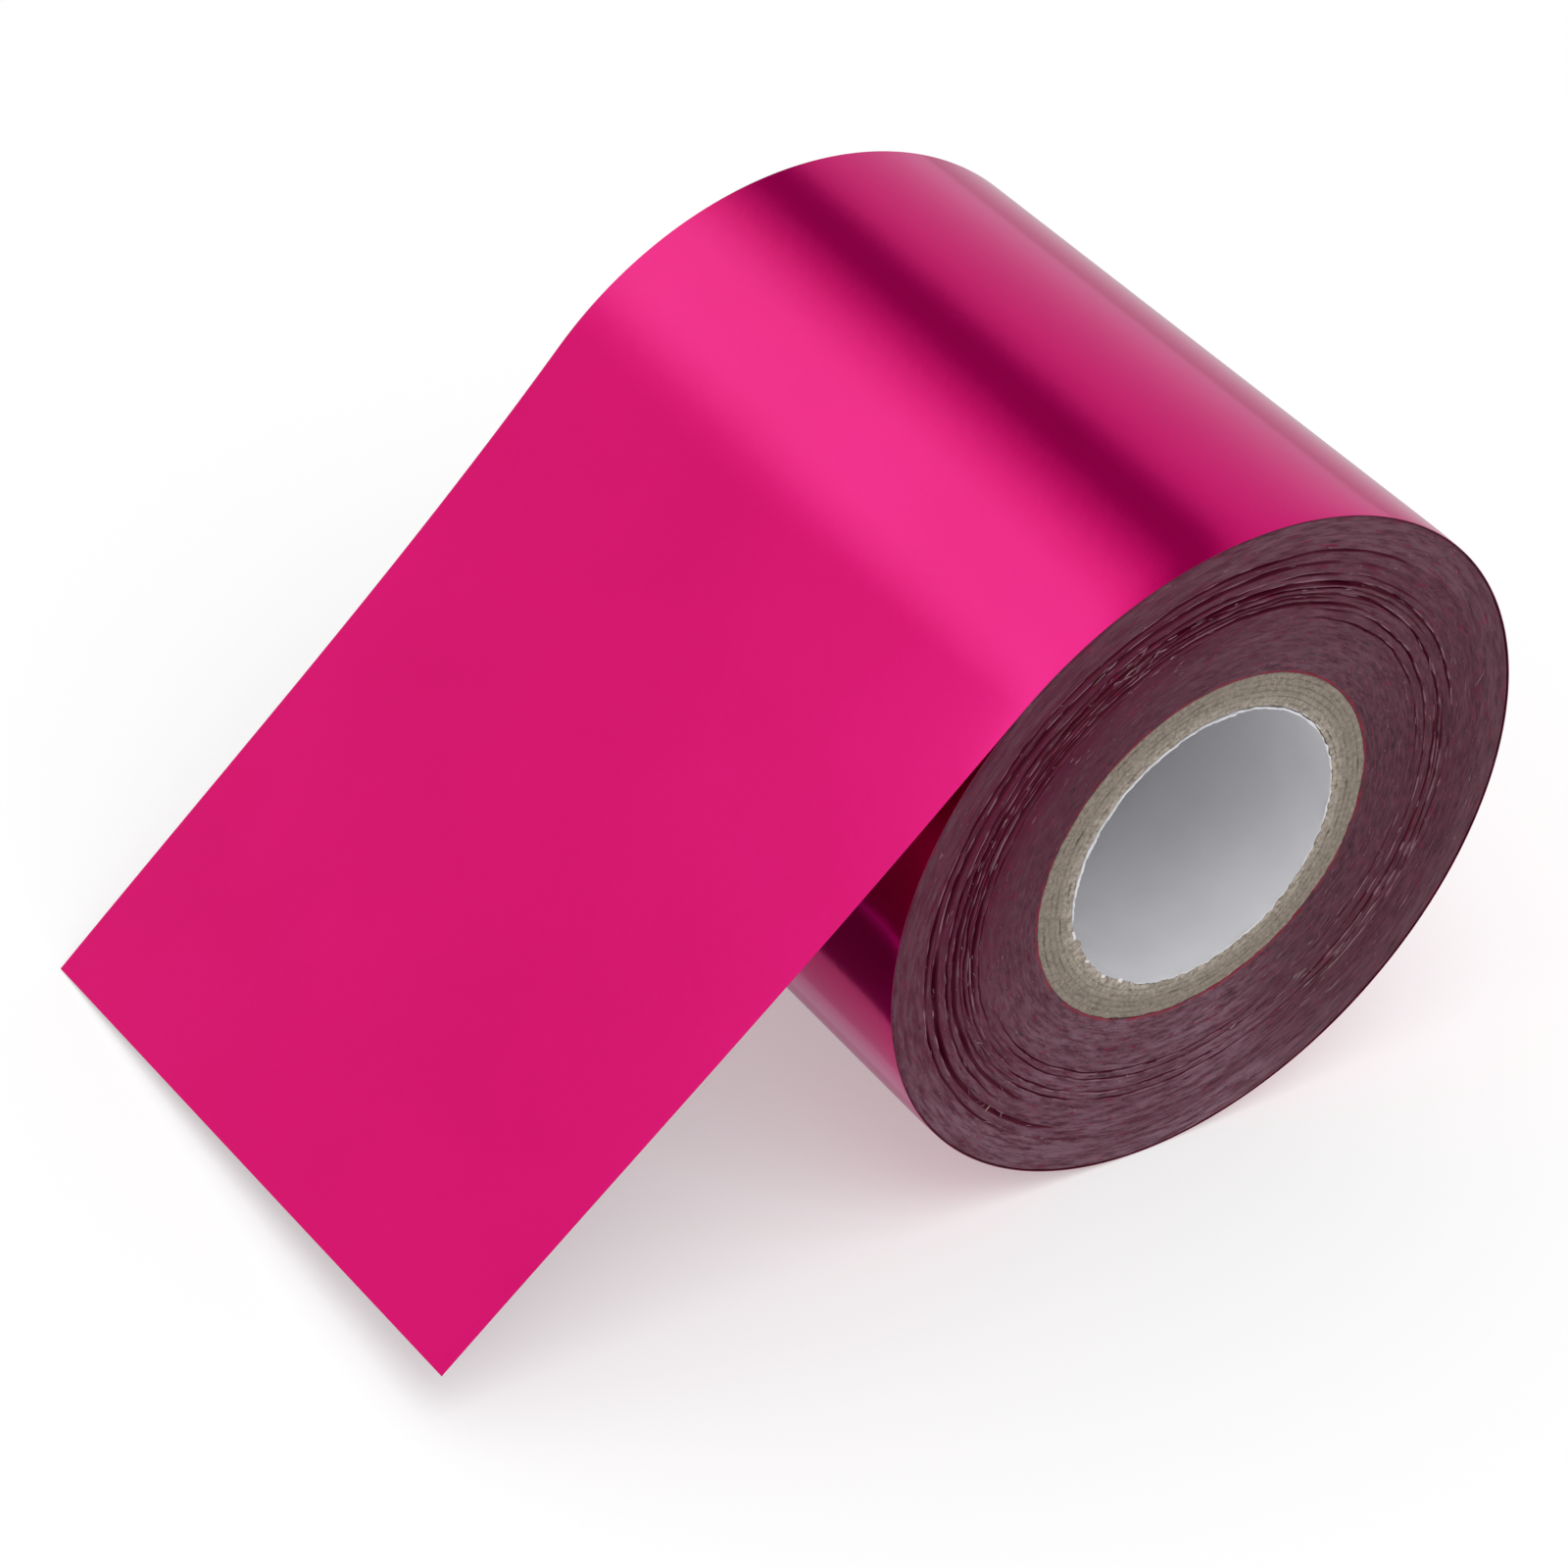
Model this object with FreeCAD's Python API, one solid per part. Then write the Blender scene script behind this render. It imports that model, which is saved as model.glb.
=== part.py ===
import FreeCAD, Part
import math
import os

os.makedirs("parts", exist_ok=True)

# Roll of metallised hot-stamping (transfer) foil on a paperboard core, lying on
# its side with the free end of the web drawn off to the table.
# Millimetres. Origin at the centre of the core's bore, +Y along the roll's axis
# from the dished end to the proud end, +Z up. The table is at z = -roll_r.

# Web and winding
web_width = 60.0         # width the foil is slit to
roll_r = 30.9            # outside of the outermost turn
turn_t = 0.10            # wall of the outer turn and the leader, a stand-in for one 0.018 mm web
leader_gap = 0.05        # running clearance between the leader's root and the roll
telescope = 0.8          # how far the outer turns have slid along the core, towards -Y
flat_ring_r = 27.8       # the turns outside this radius share one flat edge

# Groups of turns that were wound a little aside: inner radius, outer radius, set-back
slipped_turns = [
    (22.3, 22.7, 0.14),
    (23.6, 24.6, 0.20),
    (26.6, 27.4, 0.25),
]

# Core: spiral-wound greyboard tube, inside lined with white paper
core_bore_r = 12.85      # fits a 25.4 mm (1 inch) mandrel
core_r = 16.2
core_length = 60.0
liner_t = 0.21
ply_count = 6

# Strip of tape that fastens the start of the web to the core, across the web
tape_t = 0.08
tape_angle = 44.0        # degrees round the core, about 12.5 mm
tape_length = 52.0

# Leader: leaves the roll as a tangent, bends slightly up, then runs flat to the table
leave_angle = 142.5      # degrees from +X towards +Z, where the web leaves the roll
bend_angle = 4.2         # degrees by which the leader flattens
bend_length = 31.0

axis_y = FreeCAD.Vector(0, 1, 0)


def tube(inner_r, outer_r, y_start, length):
    base = FreeCAD.Vector(0, y_start, 0)
    outer = Part.makeCylinder(outer_r, length, base, axis_y)
    inner = Part.makeCylinder(inner_r, length, base, axis_y)
    return outer.cut(inner)


def polar(angle_deg, r=1.0):
    a = math.radians(angle_deg)
    return FreeCAD.Vector(r * math.cos(a), 0, r * math.sin(a))


# Core. The liner and the plies are glued, so they touch face to face.
liner_r = core_bore_r + liner_t
ply_t = (core_r - liner_r) / ply_count

core_liner = tube(core_bore_r, liner_r, -core_length / 2, core_length)
core_liner.exportStep("parts/core_liner.step")

for i in range(ply_count):
    ply = tube(liner_r + i * ply_t, liner_r + (i + 1) * ply_t, -core_length / 2, core_length)
    ply.exportStep("parts/core_ply_%d.step" % (i + 1))

# Start tape, a curved strip stuck down on the outer ply.
tape_ring = tube(core_r, core_r + tape_t, -tape_length / 2, tape_length)
tape_far = 2.0 * core_r
tape_sector = Part.Face(Part.makePolygon([
    FreeCAD.Vector(0, -tape_length / 2, 0),
    polar(-tape_angle / 2, tape_far) + FreeCAD.Vector(0, -tape_length / 2, 0),
    polar(tape_angle / 2, tape_far) + FreeCAD.Vector(0, -tape_length / 2, 0),
    FreeCAD.Vector(0, -tape_length / 2, 0),
])).extrude(FreeCAD.Vector(0, tape_length, 0))
start_tape = tape_ring.common(tape_sector)
start_tape.exportStep("parts/start_tape.step")


# Winding. Every turn is web_width wide, so a turn that sits back at one end
# stands out by the same amount at the other.
winding_r = roll_r - turn_t


def shift(r, set_back=0.0):
    share = min(1.0, (r - core_r) / (flat_ring_r - core_r))
    return -telescope * share + set_back


stations = [(core_r, 0.0)]
for r_in, r_out, set_back in slipped_turns:
    stations.append((r_in, 0.0))
    stations.append((r_in, set_back))
    stations.append((r_out, set_back))
    stations.append((r_out, 0.0))
stations.append((flat_ring_r, 0.0))
stations.append((winding_r, 0.0))

near_edge = [FreeCAD.Vector(r, shift(r, s) - web_width / 2, 0) for r, s in stations]
far_edge = [FreeCAD.Vector(r, shift(r, s) + web_width / 2, 0) for r, s in stations]
outline = near_edge + far_edge[::-1] + near_edge[:1]
winding = Part.Face(Part.makePolygon(outline)).revolve(FreeCAD.Vector(0, 0, 0), axis_y, 360)
foil_winding = winding.cut(start_tape)
foil_winding.exportStep("parts/foil_winding.step")

# Outer turn, the last one on the roll, lying on the winding.
turn_y = -web_width / 2 - telescope
foil_outer_turn = tube(roll_r - turn_t, roll_r, turn_y, web_width)
foil_outer_turn.exportStep("parts/foil_outer_turn.step")

# Leader. It is the same web as the outer turn and leaves it on a tangent line.
# Its outside edge runs root - bend - end, its underside is turn_t further in,
# and its root is trimmed clear of the roll so that the roll can turn under it.
out = polar(leave_angle)
root = polar(leave_angle, roll_r)
bend_r = bend_length / math.radians(bend_angle)
bend_centre = root + out * bend_r
run = polar(leave_angle - bend_angle + 90)
out_end = polar(leave_angle - bend_angle)
out_mid = polar(leave_angle - bend_angle / 2)

bend_top = bend_centre - out_end * bend_r
bend_under = bend_centre - out_end * (bend_r + turn_t)
straight_length = (bend_under.z + roll_r) / -run.z
end_top = bend_top + run * straight_length
end_under = bend_under + run * straight_length

top_bend = Part.Arc(root, bend_centre - out_mid * bend_r, bend_top)
under_bend = Part.Arc(
    bend_under,
    bend_centre - out_mid * (bend_r + turn_t),
    root - out * turn_t,
)
leader_wire = Part.Wire([
    top_bend.toShape(),
    Part.makeLine(bend_top, end_top),
    Part.makeLine(end_top, end_under),
    Part.makeLine(end_under, bend_under),
    under_bend.toShape(),
    Part.makeLine(root - out * turn_t, root),
])
leader = Part.Face(leader_wire).extrude(FreeCAD.Vector(0, web_width, 0))
leader.translate(FreeCAD.Vector(0, turn_y, 0))
clear_of_roll = Part.makeCylinder(
    roll_r + leader_gap, web_width, FreeCAD.Vector(0, turn_y, 0), axis_y
)
foil_leader = leader.cut(clear_of_roll)
foil_leader.exportStep("parts/foil_leader.step")
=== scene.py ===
import math

import bpy
import numpy as np
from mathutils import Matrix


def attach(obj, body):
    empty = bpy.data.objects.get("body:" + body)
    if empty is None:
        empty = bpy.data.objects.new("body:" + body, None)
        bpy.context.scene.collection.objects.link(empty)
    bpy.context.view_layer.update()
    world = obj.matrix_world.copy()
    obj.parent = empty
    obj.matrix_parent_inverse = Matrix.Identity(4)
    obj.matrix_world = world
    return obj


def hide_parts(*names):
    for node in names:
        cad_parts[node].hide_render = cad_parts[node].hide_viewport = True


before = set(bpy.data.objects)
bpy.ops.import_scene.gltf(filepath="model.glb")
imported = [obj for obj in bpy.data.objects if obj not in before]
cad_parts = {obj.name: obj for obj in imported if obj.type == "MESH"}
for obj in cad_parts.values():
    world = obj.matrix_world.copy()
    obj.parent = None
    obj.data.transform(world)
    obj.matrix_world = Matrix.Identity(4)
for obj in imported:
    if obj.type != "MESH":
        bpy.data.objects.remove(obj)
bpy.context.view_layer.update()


# ---- Web: the last turn on the roll and its free end --------------------------
# One strip of thin polyester film, dyed, lacquered and metallised, slit to width.
# It lies round the roll once more, leaves it on a tangent line and runs down to the
# table, where it is cut square. Nothing holds it but its own wind.

roll_r = 30.9                    # millimetres, as everywhere up to the studio
near_y, far_y = -30.8, 29.2      # slit edges of the outermost turns
film_t = 0.02


def new_piece(name, points, faces):
    """A mesh object from an (n, 3) array of points in millimetres and a list of faces."""
    mesh = bpy.data.meshes.new(name)
    mesh.from_pydata((points * 0.001).tolist(), [], faces)
    mesh.update()
    piece = bpy.data.objects.new(name, mesh)
    bpy.context.scene.collection.objects.link(piece)
    return piece


def grid_mesh(name, points, close_rows=False, close_columns=False, ladder_ends=False, values=None):
    """Puts an (n, m, 3) array of points into a mesh, one face per cell of the grid. Closing
    rows or columns joins the last to the first. Ladder ends close the two open ends of a flat
    tube by joining column j to column m-1-j. If the enclosed volume comes out negative, the
    faces are turned round. Values are stored on the points."""
    n, m = points.shape[:2]
    i0, j0 = np.meshgrid(np.arange(n if close_rows else n - 1),
                         np.arange(m if close_columns else m - 1), indexing="ij")
    i1, j1 = (i0 + 1) % n, (j0 + 1) % m
    faces = np.stack([i0 * m + j0, i1 * m + j0, i1 * m + j1, i0 * m + j1], -1).reshape(-1, 4)
    if ladder_ends:
        j = np.arange(m // 2 - 1)
        first = np.stack([j, j + 1, m - 2 - j, m - 1 - j], -1)
        last = first[:, ::-1] + (n - 1) * m
        faces = np.concatenate([faces, first, last])
    flat = points.reshape(-1, 3)
    a, b, c, d = (flat[faces[:, k]] for k in range(4))
    if np.einsum("ij,ij->", a, np.cross(b, c) + np.cross(c, d)) < 0:
        faces = faces[:, ::-1]
    piece = new_piece(name, flat, faces.tolist())
    mesh = piece.data
    mesh.polygons.foreach_set("use_smooth", np.ones(len(faces), bool))
    for key, array in (values or {}).items():
        layer = mesh.attributes.new(key, "FLOAT", "POINT")
        layer.data.foreach_set("value", array.astype(np.float32).ravel())
    mesh.update()
    mesh.set_sharp_from_angle(angle=math.radians(50))
    return piece


def web_line(across, steps_round=420, steps_free=150):
    """The web seen from its edge, for each place across it. It starts one turn before it
    leaves the roll, follows the circle to the leaving angle, then runs off along the tangent
    and flattens: its heading is the tangent's plus k1*s + k2*s*s after s millimetres. The two
    edges leave at slightly different angles, so the free end is a little twisted. Gives the
    place, the outward direction and the distance run off the roll."""
    wrapped = math.radians(356)
    leave = np.radians(138.2 + 4.6 * across)
    k1 = -0.00263 - 0.00134 * across
    k2 = 0.0000302 + 0.0000102 * across
    length = 65.1 + 0.9 * across
    turn = np.linspace(0.0, 1.0, steps_round)
    angle = leave[:, None] - wrapped * (1 - turn)
    x = roll_r * np.cos(angle)
    z = roll_r * np.sin(angle)
    s = np.linspace(0.0, 1.0, steps_free) * length[:, None]
    heading = leave[:, None] + math.pi / 2 + k1[:, None] * s + k2[:, None] * s * s
    ds = np.diff(s, axis=1)
    mid = (heading[:, 1:] + heading[:, :-1]) / 2
    xs = x[:, -1:] + np.cumsum(np.cos(mid) * ds, axis=1)
    zs = z[:, -1:] + np.cumsum(np.sin(mid) * ds, axis=1)
    x, z = np.concatenate([x, xs], 1), np.concatenate([z, zs], 1)
    nx = np.concatenate([np.cos(angle), np.sin(heading[:, 1:])], 1)
    nz = np.concatenate([np.sin(angle), -np.cos(heading[:, 1:])], 1)
    free = np.concatenate([np.zeros_like(angle), s[:, 1:]], 1)
    return x, z, nx, nz, free


# The web's near edge sinks by this much, fading over this distance along the roll.
edge_drop, drop_fade = 0.08, 1.2
across = np.concatenate([np.linspace(0.0, 0.08, 17), np.linspace(0.08, 1.0, 47)[1:]])
x, z, nx, nz, free = web_line(across)
y = (near_y + (far_y - near_y) * across)[:, None] * np.ones_like(x)
ripple = 0.03 * np.sin(free / 17.0) * np.sin(y / 13.0 + 1.0) * np.clip(free / 20.0, 0, 1)
lift = ripple - edge_drop * np.exp(-(y - near_y) / drop_fade) * np.clip(1 - free / 6.0, 0, 1)
top, under = (np.stack([x + nx * out, y, z + nz * out], -1).transpose(1, 0, 2)
              for out in (lift, lift - film_t))
slab = np.concatenate([top, under[:, ::-1]], axis=1)
foil_web = grid_mesh("foil_web", slab, close_columns=True, ladder_ends=True)


def shader(name, **constants):
    """A new material, its Principled BSDF with some sockets set, and the functions that add and
    link nodes. The helpers below work on the material made last."""
    material = bpy.data.materials.new(name)
    material.use_nodes = True
    tree = material.node_tree
    surface = tree.nodes["Principled BSDF"]
    for socket, value in constants.items():
        surface.inputs[socket.replace("_", " ")].default_value = value

    def add(kind, **settings):
        node = tree.nodes.new(kind)
        for key, value in settings.items():
            setattr(node, key, value)
        return node

    return material, surface, add, tree.links.new


def speckle(scale, detail):
    """A noise in object space, with so many cells to a metre."""
    place = add("ShaderNodeTexCoord")
    noise = add("ShaderNodeTexNoise")
    noise.inputs["Scale"].default_value = scale
    noise.inputs["Detail"].default_value = detail
    link(place.outputs["Object"], noise.inputs["Vector"])
    return noise.outputs["Fac"]


def two_tone(value, low, first, high, second):
    """The first colour where the value is at or under low, the second from high upwards."""
    ramp = add("ShaderNodeValToRGB")
    for stop, position, colour in zip(ramp.color_ramp.elements, (low, high), (first, second)):
        stop.position = position
        stop.color = (*colour, 1)
    link(value, ramp.inputs["Fac"])
    return ramp.outputs["Color"]


def spread(value, low, high):
    """The value, from 0 to 1, turned into one from low to high."""
    step = add("ShaderNodeMapRange")
    step.inputs["To Min"].default_value = low
    step.inputs["To Max"].default_value = high
    link(value, step.inputs["Value"])
    return step.outputs["Result"]


def relief(height, strength, distance):
    """Normals of a fine relief with this height value, strength and depth in metres."""
    bump = add("ShaderNodeBump")
    bump.inputs["Strength"].default_value = strength
    bump.inputs["Distance"].default_value = distance
    link(height, bump.inputs["Height"])
    return bump.outputs["Normal"]


# Outside of the web: the dyed lacquer seen through the film over bright aluminium.
foil_face, bsdf, add, link = shader("foil_face", Metallic=1.0, Specular_Tint=(1.0, 0.82, 0.96, 1),
                                    Coat_Weight=0.17, Coat_Roughness=0.06)
cloud = speckle(55, 6)
lacquer = two_tone(cloud, 0.3, (0.78, 0.0020, 0.172), 0.7, (0.82, 0.0030, 0.190))
link(lacquer, bsdf.inputs["Base Color"])
link(spread(cloud, 0.12, 0.17), bsdf.inputs["Roughness"])
link(relief(speckle(900, 3), 0.04, 0.0002), bsdf.inputs["Normal"])

# Back of the web: the heat-release adhesive, a duller and greyer pink.
foil_back, bsdf, add, link = shader("foil_back", Metallic=0.85)
haze = speckle(120, 5)
glue = two_tone(haze, 0, (0.42, 0.02, 0.19), 1, (0.52, 0.045, 0.25))
link(glue, bsdf.inputs["Base Color"])
link(spread(haze, 0.34, 0.46), bsdf.inputs["Roughness"])

foil_web.data.materials.append(foil_face)
foil_web.data.materials.append(foil_back)
rows, columns = slab.shape[0] - 1, slab.shape[1]
half = columns // 2
column = np.tile(np.arange(columns), rows)
backs = np.zeros(len(foil_web.data.polygons), np.int32)
backs[:rows * columns][(column >= half) & (column < columns - 1)] = 1
foil_web.data.polygons.foreach_set("material_index", backs)
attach(foil_web, "free_end")
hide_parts("foil_leader")


# ---- Winding ------------------------------------------------------------------
# Some hundreds of turns of the same web, wound tight on the core. Each end is the
# stack of slit edges. The turns have slid a little along the core, groups of them sit
# back or stand out, and handling has burred and scuffed them. Their colour also holds
# painted shade in the slipped turns, painted highlights on their lips, and pale patches
# of painted sheen towards the bottom.

core_r = 16.2
core_end = 30.0                  # the core reaches this far both ways from the middle
flat_ring_r = 27.8               # the turns outside this radius have all slid equally far
slid = 0.8                       # which is this far
turn_r = roll_r - film_t - 0.02  # the turn under the last one, made after the winding
wound_r = turn_r - 0.15

# Slipped turns: share of the roll's radius, depth in mm, half width in mm, wander in mm, and
# the angle and spread in degrees over which they are deep.
slipped = [
    (0.895, 0.34, 0.12, 0.10, 150, 84), (0.878, 0.10, 0.07, 0.05, 140, 60),
    (0.862, 0.50, 0.19, 0.12, 152, 78), (0.826, 0.32, 0.11, 0.06, 138, 80),
    (0.801, 0.52, 0.17, 0.05, 135, 86), (0.784, 0.30, 0.09, 0.05, 130, 80),
    (0.769, 0.34, 0.10, 0.04, 135, 80), (0.756, 0.26, 0.08, 0.04, 140, 72),
    (0.740, 0.42, 0.15, 0.05, 142, 76), (0.722, 0.14, 0.08, 0.05, 160, 60),
    (0.803, 0.22, 0.08, 0.06, 38, 34), (0.764, 0.26, 0.09, 0.05, 38, 38),
    (0.722, 0.20, 0.08, 0.05, 42, 36), (0.694, 0.16, 0.07, 0.05, 40, 36),
    (0.772, 0.16, 0.08, 0.10, 262, 46), (0.750, 0.16, 0.08, 0.06, 258, 45),
    (0.712, 0.15, 0.07, 0.06, 262, 45), (0.690, 0.15, 0.07, 0.06, 255, 50),
    (0.800, 0.18, 0.07, 0.05, 338, 34), (0.778, 0.22, 0.08, 0.05, 342, 36),
    (0.752, 0.30, 0.12, 0.08, 340, 36), (0.723, 0.18, 0.07, 0.05, 344, 32),
    (0.686, 0.15, 0.07, 0.05, 340, 32),
]


def ring_angles(steps):
    """Equal steps once round the roll, as a column."""
    return np.linspace(0, 2 * math.pi, steps, endpoint=False)[:, None]


def turned(r, y, angle):
    """Points at a radius and a place along the roll, turned by an angle from +X towards +Z."""
    return np.stack(np.broadcast_arrays(r * np.cos(angle), y, r * np.sin(angle)), -1)


def slow_wave(angle, seed, size):
    """A smooth wander round the roll: three sines with whole numbers of waves and fixed phases."""
    phase = np.random.default_rng(seed).uniform(0, 2 * math.pi, 3)
    return size * (np.sin(2 * angle + phase[0]) + 0.6 * np.sin(5 * angle + phase[1])
                   + 0.4 * np.sin(11 * angle + phase[2])) / 2.0


def ragged(steps, seed, width):
    """Random numbers once round the roll, as a column: white noise whose waves fade as a bell
    towards the short ones, so it is smooth over about so many steps, scaled to a spread of 1."""
    waves = np.fft.rfft(np.random.default_rng(seed).normal(size=steps))
    smooth = np.fft.irfft(waves * np.exp(-(np.arange(len(waves)) * width / steps * 2) ** 2), steps)
    return (smooth / smooth.std())[:, None]


def near_angle(angle, degrees, spread, power=2):
    """1 at the given angle, fading away on both sides over the spread."""
    away = np.angle(np.exp(1j * (angle - math.radians(degrees))))
    return np.exp(-np.abs(away / math.radians(spread)) ** power)


def slip_lines(r, angle):
    """How far the turns at radius r sit back, and how strong the lip outside them is. Each
    slipped group is a bell across its width that wanders slightly in radius and fades away from
    its angle. Its lip is a narrower bell just outside it, broken up along its length. The depth
    also sets painted shade in the recess, and the lip a painted highlight on it."""
    depth = np.zeros(np.broadcast(r, angle).shape)
    lip = np.zeros_like(depth)
    steps = len(angle)
    full_lip = 0.18              # groups at least this deep have the full lip, with the brightest painted highlight
    for k, (share, deep, half_width, wander, at, spread) in enumerate(slipped):
        centre = share * roll_r + slow_wave(angle, k, wander)
        centre = centre + 0.03 * ragged(steps, 300 + k, 5)
        fade = near_angle(angle, at, spread, 4)
        uneven = np.clip(0.85 + 0.3 * ragged(steps, 40 + k, 9), 0.1, 1.3)
        depth = np.maximum(depth, deep * fade * uneven * np.exp(-((r - centre) / half_width) ** 2))
        broken = np.clip(0.38 + 0.7 * ragged(steps, 70 + k, 3), 0, 1) * fade
        outside = (r - centre - 1.5 * half_width) / (0.55 * half_width + 0.02)
        lip = np.maximum(lip, broken * np.exp(-outside ** 2) * min(1, deep / full_lip))
    return depth, lip


def telescoped(r):
    """How far a turn has slid along the core: none at the core, growing evenly with its radius
    up to the flat ring, and the same from there out."""
    return -slid * np.minimum(1.0, (r - core_r) / (flat_ring_r - core_r))


angle = ring_angles(480)
near_r = np.concatenate([np.linspace(core_r + 0.12, 20.6, 26), np.linspace(20.6, 28.6, 108)[1:],
                         np.linspace(28.6, wound_r - 0.05, 14)[1:], [wound_r]])[None]
far_r = np.linspace(wound_r, core_r + 0.03, 56)[None]
near_slip, near_lip = slip_lines(near_r, angle)
far_slip, far_lip = slip_lines(far_r, -angle)
fine = 0.016 * np.sin(near_r * 41.0 + slow_wave(angle, 90, 1.5)) + slow_wave(angle, 91, 0.03)
outer_gap = 0.14 * np.exp(-((near_r - wound_r) / 0.06) ** 2)
near_line = telescoped(near_r) - core_end + near_slip + fine + outer_gap - 0.05 * near_lip
far_line = telescoped(far_r) + core_end + 0.5 * far_slip + slow_wave(angle, 92, 0.02)
r = np.concatenate([near_r + 0 * angle, far_r + 0 * angle], 1)
along = np.concatenate([near_line, far_line], 1)

# Wear and painted sheen, from 0 to 1: wine-red where the dye shows, pale grey where the edges are rubbed,
# and pale grey towards the bottom as a painted highlight standing for the sheen of the stacked film edges.
share = r / roll_r
middle = 1 / (1 + np.exp(-(share - 0.66) / 0.03))
wine = (0.15 + 0.90 * near_angle(angle, 155, 85)) * (0.35 + 0.65 * middle) * (1 - 0.3 * (share > 0.91))
# The patches at 286 and 250 degrees are a painted highlight, the sheen of the stacked film edges; the rest
# is rubbed wear.
sheen_and_rub = (0.45 * near_angle(angle, 286, 12) + 0.72 * near_angle(angle, 250, 52)
          + 0.34 * near_angle(angle, 72, 40))
sheen_and_rub = sheen_and_rub * (0.75 + 0.25 * slow_wave(angle * 3 + share * 20, 95, 1.0)) + 0.12 * (share > 0.9)
full_slip = 0.22                 # turns this deep get the darkest painted shade
winding = grid_mesh("winding", turned(r, along, angle), close_rows=True, close_columns=True, values={
    # The slipped value paints shade into the recesses; the lip value paints a highlight on the lips.
    "slipped": np.concatenate([near_slip, 0.5 * far_slip], 1) / full_slip,
    "lip": np.concatenate([near_lip, 0.3 * far_lip], 1),
    "wine": wine,
    "sheen_and_rub": sheen_and_rub,
    "first_turns": np.exp(-((r - core_r - 0.2) / 0.12) ** 2),
})


def round_the_axis():
    """Node group: object coordinates turned into a vector that runs round the roll's axis.
    Direction from the axis times Around, and distance from the axis times Out, so a noise read
    from it is drawn out into rings when Out is large, and has no seam."""
    group = bpy.data.node_groups.new("round_the_axis", "ShaderNodeTree")
    for socket in ("Around", "Out"):
        group.interface.new_socket(socket, in_out="INPUT", socket_type="NodeSocketFloat")
    group.interface.new_socket("Ring Vector", in_out="OUTPUT", socket_type="NodeSocketVector")

    def new(kind, operation=None):
        node = group.nodes.new(kind)
        if operation:
            node.operation = operation
        return node

    link = group.links.new
    source, sink = new("NodeGroupInput"), new("NodeGroupOutput")
    place = new("ShaderNodeTexCoord")
    flat = new("ShaderNodeVectorMath", "MULTIPLY")
    flat.inputs[1].default_value = (1, 0, 1)
    length = new("ShaderNodeVectorMath", "LENGTH")
    unit = new("ShaderNodeVectorMath", "NORMALIZE")
    scaled = new("ShaderNodeVectorMath", "SCALE")
    out = new("ShaderNodeMath", "MULTIPLY")
    split, join = new("ShaderNodeSeparateXYZ"), new("ShaderNodeCombineXYZ")
    link(place.outputs["Object"], flat.inputs[0])
    link(flat.outputs[0], length.inputs[0])
    link(flat.outputs[0], unit.inputs[0])
    link(unit.outputs[0], scaled.inputs[0])
    link(source.outputs["Around"], scaled.inputs["Scale"])
    link(length.outputs["Value"], out.inputs[0])
    link(source.outputs["Out"], out.inputs[1])
    link(scaled.outputs[0], split.inputs[0])
    link(split.outputs["X"], join.inputs["X"])
    link(split.outputs["Z"], join.inputs["Y"])
    link(out.outputs[0], join.inputs["Z"])
    link(join.outputs[0], sink.inputs["Ring Vector"])
    return group


ring_group = round_the_axis()


def ring_noise(around, out, detail, roughness=0.6):
    """A noise drawn out along the rings: its grain is finer the larger the two numbers are."""
    rings = add("ShaderNodeGroup", node_tree=ring_group)
    rings.inputs["Around"].default_value = around
    rings.inputs["Out"].default_value = out
    noise = add("ShaderNodeTexNoise")
    noise.inputs["Scale"].default_value = 1.0
    noise.inputs["Detail"].default_value = detail
    noise.inputs["Roughness"].default_value = roughness
    link(rings.outputs["Ring Vector"], noise.inputs["Vector"])
    return noise.outputs["Fac"]


def between(value, low, high, top=1.0):
    """The value rescaled so that low gives 0 and high gives top, smoothly and clamped."""
    step = add("ShaderNodeMapRange", interpolation_type="SMOOTHSTEP")
    step.inputs["From Min"].default_value = low
    step.inputs["From Max"].default_value = high
    step.inputs["To Max"].default_value = top
    link(value, step.inputs["Value"])
    return step.outputs["Result"]


def combined(operation, first, second):
    """Sum or product of two values."""
    node = add("ShaderNodeMath", operation=operation)
    link(first, node.inputs[0])
    link(second, node.inputs[1])
    return node.outputs[0]


def laid_over(under, colour, mask):
    """A flat colour laid over another colour where the mask is 1."""
    mix = add("ShaderNodeMix", data_type="RGBA")
    link(mask, mix.inputs["Factor"])
    link(under, mix.inputs["A"])
    mix.inputs["B"].default_value = (*colour, 1)
    return mix.outputs["Result"]


def reading(name):
    """A value stored on the mesh points."""
    return add("ShaderNodeAttribute", attribute_name=name).outputs["Fac"]


# Slit edges: dark dyed film, with wine-red areas, pale grey that is rubbed wear and, towards the
# bottom, a painted highlight for the edges' sheen, fine light and dark threads, painted shade in
# the slipped turns, a painted highlight on their lips, burrs, and the first turns against the core.
foil_edges, bsdf, add, link = shader("foil_edges", Roughness=0.5, Specular_IOR_Level=0.12)
streak = ring_noise(15.0, 4600.0, 6, 0.70)
blotch = ring_noise(11.0, 1300.0, 6, 0.72)
sheen_scuff_noise = ring_noise(9.0, 2400.0, 6, 0.72)
burr = between(ring_noise(24.0, 6500.0, 2), 0.69, 0.75, 0.6)
worn = combined("MULTIPLY", reading("wine"), between(blotch, 0.28, 0.52))
sheen_and_scuff = combined("MULTIPLY", reading("sheen_and_rub"), between(sheen_scuff_noise, 0.34, 0.64))
first_line = combined("MULTIPLY", between(reading("first_turns"), 0.2, 0.9),
                      between(ring_noise(7.0, 300.0, 4), 0.36, 0.56, 0.9))
colour = two_tone(streak, 0.34, (0.032, 0.007, 0.014), 0.68, (0.130, 0.043, 0.066))
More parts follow.
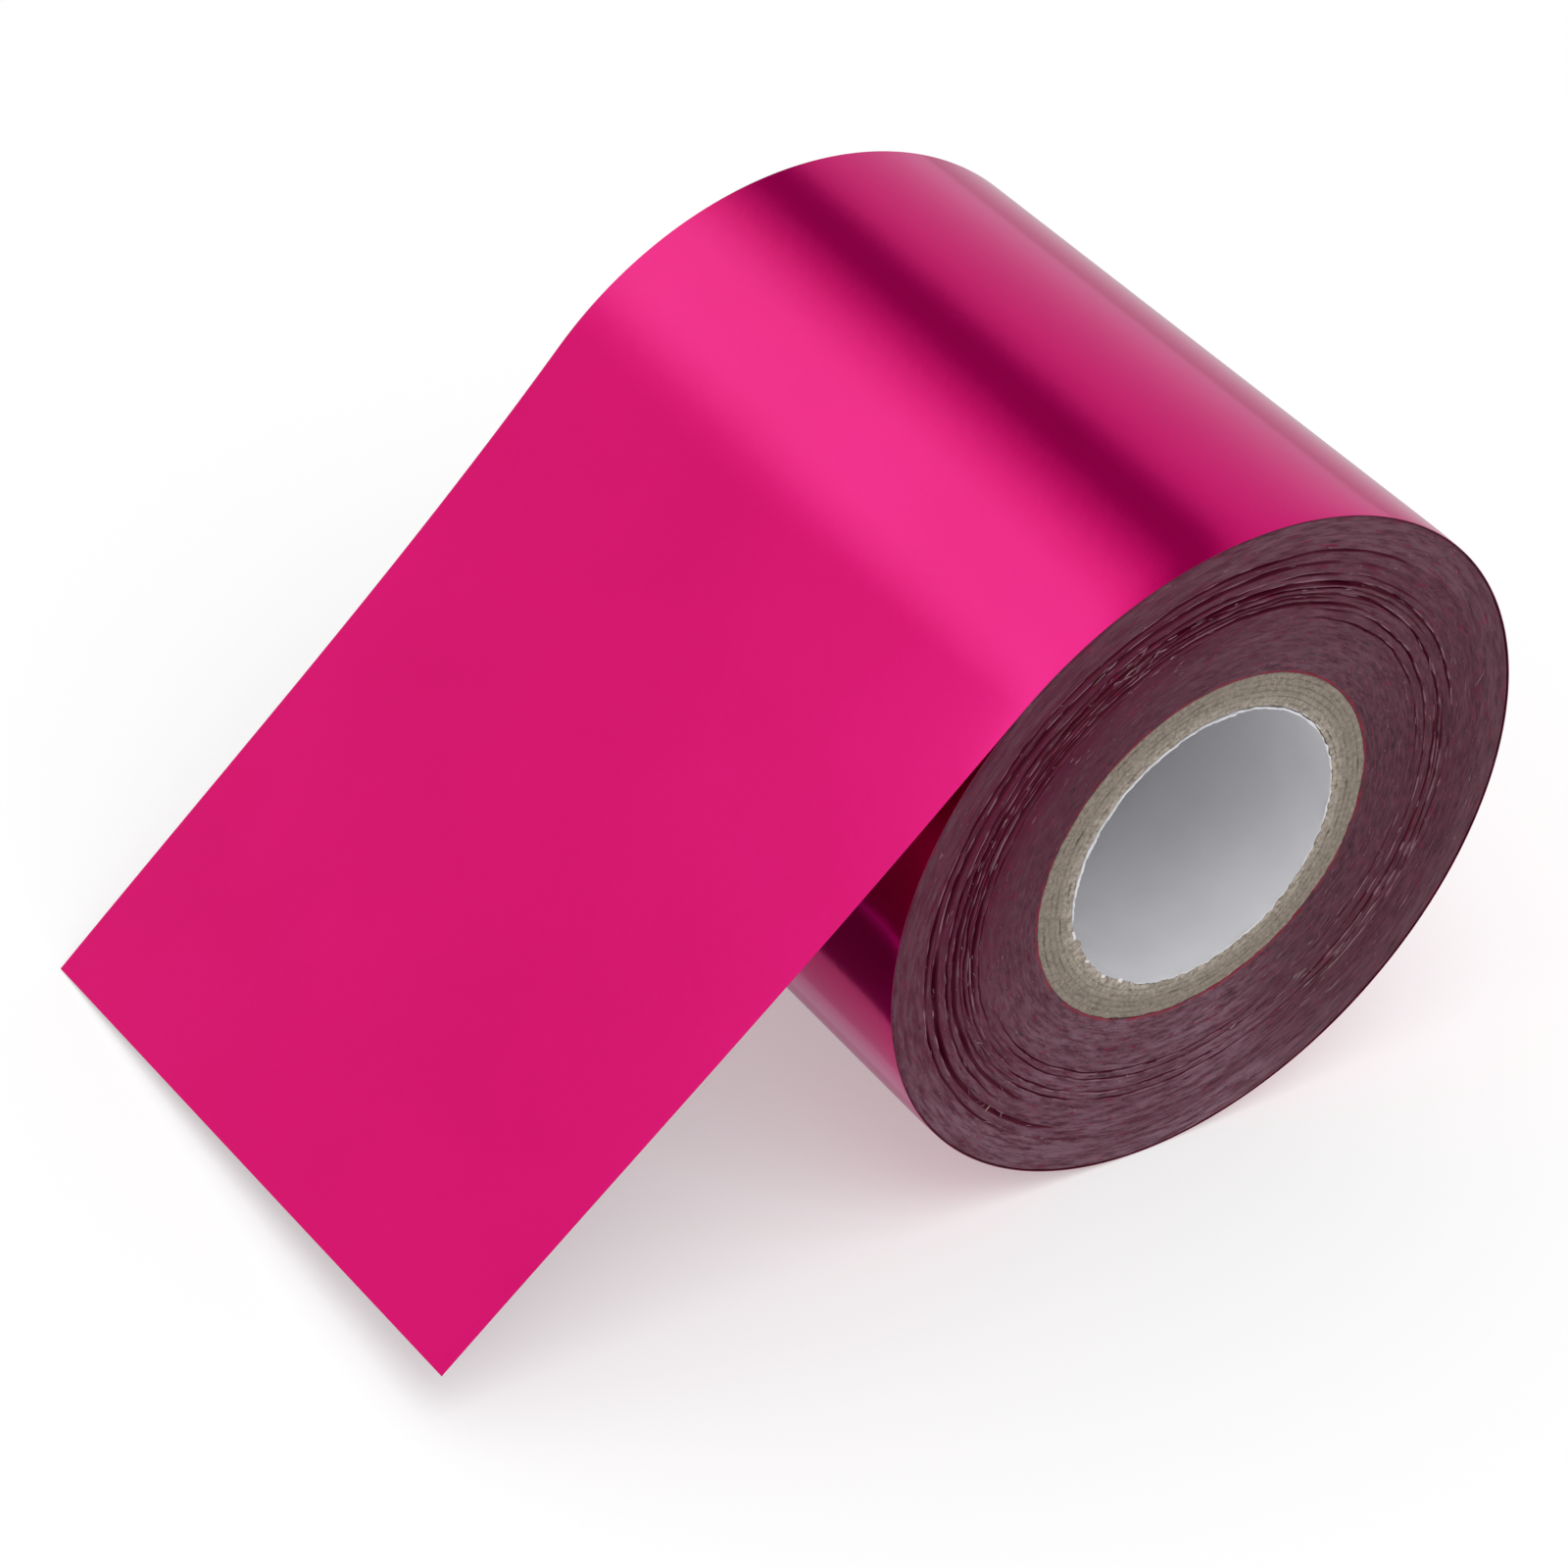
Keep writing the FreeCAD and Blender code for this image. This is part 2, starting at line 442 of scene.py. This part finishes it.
for over, mask in (
        ((0.086, 0.002, 0.024), worn),
        # pale grey: rubbed wear, and a painted highlight for the edges' sheen towards the bottom
        ((0.235, 0.130, 0.172), sheen_and_scuff),
        ((0.165, 0.003, 0.033), between(ring_noise(15.0, 4400.0, 3), 0.61, 0.68, 0.85)),
        ((0.018, 0.004, 0.010), between(ring_noise(12.0, 5200.0, 3), 0.62, 0.69, 0.70)),
        # painted shade in the recesses of the slipped turns
        ((0.064, 0.0, 0.012), between(reading("slipped"), 0.06, 0.42)),
        # painted highlight on the lips of the slipped turns
        ((0.26, 0.14, 0.18), between(reading("lip"), 0.15, 0.80, 0.80)),
        ((0.32, 0.20, 0.25), burr),
        ((0.30, 0.004, 0.028), first_line)):
    colour = laid_over(colour, over, mask)
link(colour, bsdf.inputs["Base Color"])
link(relief(combined("ADD", streak, burr), 0.35, 0.0001), bsdf.inputs["Normal"])
winding.data.materials.append(foil_edges)
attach(winding, "roll")
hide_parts("foil_winding")


# ---- Turn below ---------------------------------------------------------------
# The turn under the last one, part of the same web. It shows only as a fine line at
# the two ends of the roll and where the free end lifts away.

below_t = 0.06
sunk_r = turn_r - edge_drop
profile = np.array([(sunk_r, near_y), (turn_r - 0.03, near_y + drop_fade), (turn_r, near_y + 5),
                    (turn_r, far_y), (turn_r - below_t, far_y), (sunk_r - below_t, near_y)])
angle = ring_angles(540)
turn_below = grid_mesh("turn_below", turned(profile[:, 0], profile[:, 1], angle),
                       close_rows=True, close_columns=True)
turn_below.data.materials.append(foil_face)
turn_below.data.materials.append(foil_edges)
slit = np.tile([0, 0, 0, 1, 0, 1], len(angle)).astype(np.int32)
turn_below.data.polygons.foreach_set("material_index", slit)
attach(turn_below, "roll")
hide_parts("foil_outer_turn")


# ---- Slivers ------------------------------------------------------------------
# Short slivers of film on the near end, where knocks and fingernails have lifted the
# slit edges. They lie along the rings, or across them where something has scraped past.

def slivers(name, at, share, length, lean, bow, width, stations=9):
    """Thin ridges on the near end. Each runs from its place (angle and radius) along a short
    line that leans from the ring by an angle and bows sideways as a parabola; its section is a
    triangle whose foot stands in the winding and whose crest rises as half an ellipse, and it
    narrows to a tip at both ends."""
    n, points_each = len(at), 3 * stations
    tip, foot, crest = 0.003, 0.05, 0.05
    t = np.linspace(-1, 1, stations)[None]
    a, rr = np.radians(at)[:, None], (share * roll_r)[:, None]
    ca, sa = np.cos(lean)[:, None], np.sin(lean)[:, None]
    run = t * length[:, None] / 2
    side = bow[:, None] * (1 - t ** 2)
    tangent, outward = run * ca - side * sa, run * sa + side * ca
    w = tip + width[:, None] * (1 - t ** 2) ** 0.7 / 2
    corners = []
    for offset in (-1, 1, 0):
        ox, oz = rr + outward + offset * w * ca, tangent - offset * w * sa
        radius = np.hypot(ox, oz)
        turn = a + np.arctan2(oz, ox)
        lift = foot if offset else 0.03 - crest * (1 - t ** 2) ** 0.5
        corners.append(turned(radius, telescoped(radius) - core_end + lift, turn))
    points = np.stack(corners, 2).reshape(-1, 3)
    i, j = np.meshgrid(np.arange(stations - 1), np.arange(3), indexing="ij")
    here, beside = i * 3 + j, i * 3 + (j + 1) % 3
    sides = np.stack([here, here + 3, beside + 3, beside], -1).reshape(-1, 4)
    base = points_each * np.arange(n)
    last = base + points_each - 1
    faces = (sides[None] + base[:, None, None]).reshape(-1, 4).tolist()
    faces += np.stack([base, base + 1, base + 2], -1).tolist()
    faces += np.stack([last, last - 1, last - 2], -1).tolist()
    return new_piece(name, points, faces)


# Where they gather: angle and its spread in degrees, share of the roll's radius and its spread,
# how many, length in mm, and the spread of their lean in radians.
gathered = [(150, 55, 0.80, 0.07, 52, 0.9, 0.08), (126, 3, 0.86, 0.02, 8, 1.0, 0.9),
            (118, 8, 0.80, 0.03, 12, 1.6, 0.35), (34, 14, 0.87, 0.02, 14, 1.5, 0.30),
            (0, 45, 0.77, 0.05, 46, 1.8, 0.06), (285, 14, 0.66, 0.05, 26, 0.9, 0.15),
            (250, 35, 0.82, 0.09, 46, 1.2, 0.30), (229, 5, 0.86, 0.03, 10, 1.4, 0.75),
            (300, 40, 0.75, 0.05, 34, 1.8, 0.08), (80, 40, 0.72, 0.08, 36, 1.0, 0.12)]
shortest, most_bow = 0.35, 0.08
knocks = np.random.default_rng(31)
lifted = np.concatenate([
    np.stack([knocks.normal(at, at_spread, count),
              np.clip(knocks.normal(out, out_spread, count), 0.56, 0.985),
              np.maximum(length * knocks.uniform(0.35, 1.5, count), shortest),
              knocks.normal(0, lean, count),
              np.clip(knocks.normal(0, 0.06, count) * length, -most_bow, most_bow),
              knocks.uniform(0.04, 0.085, count)])
    for at, at_spread, out, out_spread, count, length, lean in gathered], 1)
edge_slivers = slivers("edge_slivers", *lifted)

sliver_film, bsdf, add, link = shader("sliver_film", Roughness=0.35)
pale = two_tone(speckle(700, 3), 0.35, (0.12, 0.03, 0.055), 0.65, (0.33, 0.19, 0.24))
link(pale, bsdf.inputs["Base Color"])
edge_slivers.data.materials.append(sliver_film)
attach(edge_slivers, "roll")


# ---- Core plies ---------------------------------------------------------------
# Six strips of grey recycled board, wound one on another as a tube and glued, then
# sawn to length, which leaves a soft fibrous end with a faint line at each ply.

plies = 6
liner_r = 13.06
ply_t = (core_r - liner_r) / plies
saw_cut = 29.97                  # the mean of the sawn ends
torn_at, flared_at = 223, 80     # degrees: folded in and torn, and bent outwards

# Grey board: mottled pulp, darker at each glued edge and lighter towards the bore, with dark
# pits, pale fibres and white tufts of torn paper.
greyboard, bsdf, add, link = shader("greyboard", Roughness=0.92, Specular_IOR_Level=0.2)
grain = ring_noise(38.0, 2600.0, 6, 0.72)
glued = combined("MULTIPLY", reading("ply_edge"), between(ring_noise(9.0, 500.0, 4), 0.38, 0.62))
inmost = combined("MULTIPLY", reading("inner_share"),
                  between(ring_noise(30.0, 2000.0, 4), 0.35, 0.65, 0.8))
colour = two_tone(grain, 0.28, (0.140, 0.117, 0.095), 0.74, (0.362, 0.304, 0.252))
for over, mask in (
        ((0.120, 0.100, 0.080), glued),
        ((0.52, 0.455, 0.388), inmost),
        ((0.07, 0.058, 0.05), between(ring_noise(90.0, 5200.0, 1), 0.71, 0.77, 0.9)),
        ((0.52, 0.49, 0.44), between(ring_noise(60.0, 7000.0, 2), 0.68, 0.75, 0.7)),
        ((0.72, 0.71, 0.72), between(reading("tufts"), 0.3, 0.7))):
    colour = laid_over(colour, over, mask)
link(colour, bsdf.inputs["Base Color"])
link(relief(grain, 0.8, 0.00014), bsdf.inputs["Normal"])

steps = 480
angle = ring_angles(steps)
step = np.linspace(0, 1, 7)[None]    # across the thickness of one ply
crown = 1 - np.abs(2 * step - 1) ** 3
ends = np.concatenate([step[:, :1], step, step], 1)
edge = np.exp(-(np.minimum(ends, 1 - ends) / 0.14) ** 2) * 0.7 + 0 * angle
fold = np.clip(0.33 + 0.09 * ragged(steps, 140, 6) + 0.05 * ragged(steps, 141, 2), 0.08, 0.55)
flap = near_angle(angle, torn_at, 27, 10) * fold - 0.20 * near_angle(angle, flared_at, 38)
tufts = np.clip(ragged(steps, 150, 3) - 0.1, 0, 1) * near_angle(angle, torn_at, 30, 10)
tufts = tufts + 0.8 * np.clip(ragged(steps, 151, 4) + 0.7, 0, 1) * near_angle(angle, 66, 34, 4)
rng = np.random.default_rng(7)
for k in range(plies):
    inner, outer = liner_r + k * ply_t, liner_r + (k + 1) * ply_t
    rough = 0.025 * ragged(steps, 100 + k, 4) + rng.normal(0, 0.014, (steps, 7))
    near_line = -saw_cut - 0.04 * crown + rough + slow_wave(angle, 120 + k, 0.06)
    far_line = saw_cut + 0.03 * crown[:, ::-1] + rough[:, ::-1] * 0.8
    swollen = 0.09 * (k / (plies - 1)) * step - (flap * (1 - step) ** 2 if k == 0 else 0)
    r = np.concatenate([inner + 0 * angle, inner + (outer - inner) * step + swollen + 0 * angle,
                        outer - (outer - inner) * step + 0 * angle], 1)
    along = np.concatenate([-29.55 + 0 * angle, near_line, far_line], 1)
    ply = grid_mesh("board_ply_%d" % (k + 1), turned(r, along, angle),
                    close_rows=True, close_columns=True, values={
                        "ply_edge": edge,
                        "inner_share": np.clip(1 - (r - liner_r) / 1.6, 0, 1),
                        "tufts": tufts * (ends < 0.2) * (k == 0)})
    ply.data.materials.append(greyboard)
    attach(ply, "roll")
    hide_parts("core_ply_%d" % (k + 1))


# ---- Core liner ---------------------------------------------------------------
# A strip of smooth white paper, the innermost layer of the tube, glued to the first
# ply with its edges butted in one long spiral. The saw has left its end burred.

bore_r = 12.85
burr_depth = 0.22                # how far in the burr reaches
steps = 1440
angle = ring_angles(steps)
ripped = near_angle(angle, torn_at, 28, 10)
flared = near_angle(angle, flared_at, 38)
teeth = np.abs(ragged(steps, 201, 6)) * 0.04 + np.abs(ragged(steps, 202, 20)) * 0.04
short = ripped * np.clip(0.38 + 0.10 * ragged(steps, 203, 16) + 0.06 * ragged(steps, 208, 4), 0.1, 0.7)
burr_in = 0.02 + 0.035 * ragged(steps, 205, 24) + 0.015 * ragged(steps, 206, 5)
burr_in = burr_in * (1 - ripped) - 0.20 * flared
burr_out = (np.clip(0.045 * ragged(steps, 207, 9) - 0.085, -0.16, 0.05) * (1 - ripped)
            + 0.20 * flared)
depth = np.array([0.0, 0.08, 0.2, 0.45, 1.0, 3.0, 8.0, 20.0, 40.0, 59.0, 59.9])[None]
fall = np.exp(-depth / burr_depth)
mouth = -core_end + (short - teeth * (1 - ripped)) * fall + depth
inside = np.stack([bore_r - burr_in * fall, mouth + 0 * angle], -1)
outside = np.stack([liner_r - 0.01 + burr_out * fall, mouth + 0.02 * fall], -1)[:, ::-1]
loop = np.concatenate([inside, outside], 1)
liner = grid_mesh("paper_liner", turned(loop[..., 0], loop[..., 1], angle),
                  close_rows=True, close_columns=True)

liner_paper, bsdf, add, link = shader("liner_paper", Roughness=0.7)
white = two_tone(speckle(260, 5), 0.3, (0.622, 0.614, 0.642), 0.7, (0.657, 0.649, 0.677))
link(white, bsdf.inputs["Base Color"])
link(relief(speckle(2200, 3), 0.15, 0.00005), bsdf.inputs["Normal"])
liner.data.materials.append(liner_paper)
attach(liner, "roll")
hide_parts("core_liner")


# ---- Start tape ---------------------------------------------------------------
# The strip of tape that holds the first turn to the core, buried under the winding.

tape, bsdf, add, link = shader("tape", Roughness=0.35)
amber = two_tone(speckle(400, 2), 0, (0.50, 0.40, 0.22), 1, (0.62, 0.52, 0.32))
link(amber, bsdf.inputs["Base Color"])
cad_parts["start_tape"].data.materials.clear()
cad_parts["start_tape"].data.materials.append(tape)


# ---- Studio -------------------------------------------------------------------
# A pale table in a white room, in metres. Bright surfaces see the room in bands along
# the roll, like long soft lights with a dark gap between two of them, and see cards that
# lie on the table under the free end: two that glow, and a dark magenta one, seen only in
# reflections, which is painted shade for the table under the free end. One soft lamp
# overhead makes the shadows.

def flat_sheet(name, x0, x1, half_y, z, material):
    """A level rectangle from x0 to x1, as far each way in Y, with a material."""
    mesh = bpy.data.meshes.new(name)
    corners = [(x0, -half_y, z), (x1, -half_y, z), (x1, half_y, z), (x0, half_y, z)]
    mesh.from_pydata(corners, [], [(0, 1, 2, 3)])
    mesh.materials.append(material)
    sheet = bpy.data.objects.new(name, mesh)
    bpy.context.scene.collection.objects.link(sheet)
    return sheet


floor_z = -roll_r * 0.001 - 0.00002
reach = 3.0
table_white, bsdf, add, link = shader("table_white", Base_Color=(0.62, 0.62, 0.62, 1), Roughness=0.9,
                                      Specular_IOR_Level=0.0, Emission_Color=(1, 1, 1, 1))
glossy = add("ShaderNodeLightPath").outputs["Is Glossy Ray"]
link(spread(glossy, 0.38, 0.0), bsdf.inputs["Emission Strength"])
flat_sheet("table_top", -reach, reach, reach, floor_z, table_white)

world = bpy.data.worlds.new("white_room")
bpy.context.scene.world = world
world.use_nodes = True
tree = world.node_tree
tree.nodes.clear()


def feed(socket, value):
    """Sets a number or a colour on a socket of the room, and links anything else to it."""
    if isinstance(value, (int, float, tuple)):
        socket.default_value = value
    else:
        tree.links.new(value, socket)


def maths(operation, *values):
    """One Math node in the room."""
    node = tree.nodes.new("ShaderNodeMath")
    node.operation = operation
    for socket, value in zip(node.inputs, values):
        feed(socket, value)
    return node.outputs[0]


def chosen(factor, first, second):
    """The first colour where the factor is 0 and the second where it is 1, in the room."""
    mix = tree.nodes.new("ShaderNodeMix")
    mix.data_type = "RGBA"
    for socket, value in (("Factor", factor), ("A", first), ("B", second)):
        feed(mix.inputs[socket], value)
    return mix.outputs["Result"]


# The height angle runs round the roll's axis. The lamps hang a little askew to the roll, so
# their angle drifts along its length, by this much for each unit of slope either side of level.
drift, level_slope = 0.75, 0.82
view = tree.nodes.new("ShaderNodeTexCoord")
split = tree.nodes.new("ShaderNodeSeparateXYZ")
tree.links.new(view.outputs["Generated"], split.inputs[0])
height_angle = maths("ARCTAN2", split.outputs["Z"], split.outputs["X"])
sideways = maths("SQRT", maths("SUBTRACT", 1.0, maths("MULTIPLY", split.outputs["Y"], split.outputs["Y"])))
slope = maths("DIVIDE", split.outputs["Y"], maths("MAXIMUM", sideways, 0.05))
slope = maths("MAXIMUM", maths("MINIMUM", slope, 1.1), 0.5)
askew = maths("MULTIPLY_ADD", slope, drift, height_angle)
once_round = 2 * math.pi
share = maths("MULTIPLY_ADD", askew, 1 / once_round, 0.5 - level_slope * drift / once_round)

# Degrees up from +X round the roll's axis, level, and how far the lamp's green and blue run over.
bands = [(-180, 0.80, 1, 1), (-5, 0.68, 1.2, 1.15), (12, 0.69, 1.2, 1.15), (42, 0.66, 0.9, 1.05),
         (51, 0.58, 0.7, 1), (57, 0.36, 0.3, 0.95), (62, 0.27, 0.05, 0.9), (70, 0.29, 0.05, 0.9),
         (80, 0.62, 0.6, 0.95), (90, 0.92, 1.5, 1.08), (100, 1.08, 2.4, 1.24), (126, 1.11, 2.8, 1.28),
         (134, 1.03, 2.2, 1.2), (141, 0.87, 1.3, 1.05), (150, 0.79, 1, 1), (163, 0.84, 1, 1),
         (179, 0.84, 1, 1)]
lights = tree.nodes.new("ShaderNodeValToRGB")
stops = lights.color_ramp.elements
while len(stops) < len(bands):
    stops.new(0.5)
for stop, (degrees, level, green, blue) in zip(stops, bands):
    stop.position = (degrees + 180) / 360
    stop.color = (level, level * green, level * blue, 1)
tree.links.new(share, lights.inputs["Fac"])
rays = tree.nodes.new("ShaderNodeLightPath")
softly = chosen(rays.outputs["Is Glossy Ray"], (0.80, 0.80, 0.80, 1), lights.outputs["Color"])
backdrop = chosen(rays.outputs["Is Camera Ray"], softly, (1, 1, 1, 1))
glow = tree.nodes.new("ShaderNodeBackground")
tree.links.new(backdrop, glow.inputs["Color"])
out = tree.nodes.new("ShaderNodeOutputWorld")
tree.links.new(glow.outputs[0], out.inputs["Surface"])


def soft_lamp(name, width, depth, power, place, tilt, colour=(1, 1, 1)):
    """A rectangular lamp of the given size and power, at a place, tilted about X and Y."""
    lamp = bpy.data.lights.new(name, "AREA")
    lamp.shape = "RECTANGLE"
    lamp.size, lamp.size_y, lamp.energy, lamp.color = width, depth, power, colour
    lamp_object = bpy.data.objects.new(name, lamp)
    lamp_object.location = place
    lamp_object.rotation_euler = (math.radians(tilt[0]), math.radians(tilt[1]), 0)
    bpy.context.scene.collection.objects.link(lamp_object)
    return lamp_object


key_lamp = soft_lamp("key_lamp", 0.60, 0.60, 2.6, (-0.16, -0.34, 0.78), (23.5, -11))
key_lamp.visible_glossy = False
card_z = floor_z + 0.0001
low_card = soft_lamp("low_card", 0.025, 0.09, 0.0016, (-0.0265, 0, card_z), (180, 0), (0.82, 0.90, 1.0))
pale_card = soft_lamp("pale_card", 0.006, 0.09, 0.0003, (-0.0248, 0, floor_z + 0.0002), (180, 0),
                      (0.30, 1.0, 0.75))
# Painted shade: a dark magenta card, seen only in reflections and casting no shadow, laid where the free
# end shades the table.
painted_shade_card, bsdf, add, link = shader("painted_shade_card", Base_Color=(0.36, 0.05, 0.46, 1), Roughness=0.9)
shade_flag = flat_sheet("shade_flag", -0.085, -0.0392, 0.05, card_z, painted_shade_card)
shade_flag.visible_shadow = False
for card in (low_card, pale_card, shade_flag):
    card.visible_camera = False
    card.visible_diffuse = False

camera = bpy.data.cameras.new("camera")
camera.sensor_width = 36
camera.lens = 107.46
camera.clip_start = 0.01
camera_object = bpy.data.objects.new("camera", camera)
camera_object.location = (-0.21772, -0.23654, 0.21623)
camera_object.rotation_euler = (math.radians(53.740), math.radians(-7.061), math.radians(-34.967))
bpy.context.scene.collection.objects.link(camera_object)
bpy.context.scene.camera = camera_object
bpy.context.scene.view_settings.view_transform = "Standard"
